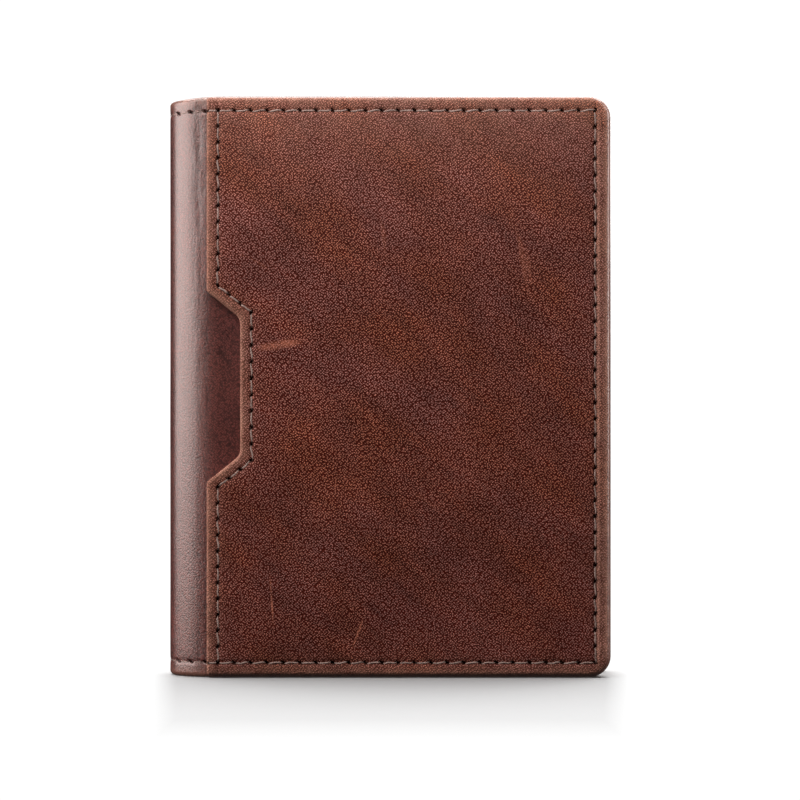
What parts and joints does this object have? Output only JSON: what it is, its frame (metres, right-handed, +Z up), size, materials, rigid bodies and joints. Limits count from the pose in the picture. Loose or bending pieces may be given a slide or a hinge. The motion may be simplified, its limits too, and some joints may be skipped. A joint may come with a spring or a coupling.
{
  "type": "bifold wallet",
  "caption": "Slim upright leather bifold wallet with a folding spine, an outer pocket with a thumb notch, and inner card slots.",
  "frame": {"origin": "centre of the bounding box's lower face, where the closed wallet stands on its lower edge", "axes": "+Z up along the spine, +X from the spine to the open edge, +Y from the front face with the outer pocket to the back face"},
  "size_m": [0.0794, 0.014, 0.105],
  "materials": {
    "cover_leather": "smooth brown leather, satin",
    "panel_leather": "pebbled brown leather, satin",
    "spine_leather": "smooth brown leather, waxed",
    "inner_leather": "smooth brown leather, matt",
    "lining": "fine twill",
    "thread": "waxed thread",
    "board": "pressed fibre board, matt",
    "foil": "laminated foil"
  },
  "bodies": {
    "back": {"back_cover_leather": "cover_leather", "back_stiffener": "board", "back_rfid_sheet": "foil", "back_lining": "lining", "back_sleeve_panel": "inner_leather", "back_card_slot_rear": "inner_leather", "back_card_slot_middle": "inner_leather", "back_card_slot_front": "inner_leather", "back_cover_stitching": "thread", "back_slot_stitching": "thread"},
    "spine_back": {"spine_leather_back": "spine_leather", "spine_lining_back": "lining", "spine_stitching_back": "thread"},
    "spine_middle": {"spine_leather_middle": "spine_leather", "spine_lining_middle": "lining", "spine_stitching_middle": "thread"},
    "spine_front": {"spine_leather_front": "spine_leather", "spine_lining_front": "lining", "spine_stitching_front": "thread"},
    "front": {"front_cover_leather": "cover_leather", "front_stiffener": "board", "front_rfid_sheet": "foil", "front_lining": "lining", "front_sleeve_panel": "inner_leather", "front_card_slot_rear": "inner_leather", "front_card_slot_middle": "inner_leather", "front_card_slot_front": "inner_leather", "front_pocket_panel": "panel_leather", "front_cover_stitching": "thread", "front_pocket_stitching": "thread", "front_slot_stitching": "thread"}
  },
  "joints": [
    {"name": "fold_back", "type": "hinge", "parent": "back", "child": "spine_back", "pos_m": [-0.03523, 0.0055, 0.0525], "axis": [0, 0, -1], "range_deg": [0, 45]},
    {"name": "fold_spine_back", "type": "hinge", "parent": "spine_back", "child": "spine_middle", "pos_m": [-0.03825, 0.00248, 0.0525], "axis": [0, 0, -1], "range_deg": [0, 45]},
    {"name": "fold_spine_front", "type": "hinge", "parent": "spine_middle", "child": "spine_front", "pos_m": [-0.03825, -0.00123, 0.0525], "axis": [0, 0, -1], "range_deg": [0, 45]},
    {"name": "fold_front", "type": "hinge", "parent": "spine_front", "child": "front", "pos_m": [-0.03523, -0.00425, 0.0525], "axis": [0, 0, -1], "range_deg": [0, 45]}
  ]
}
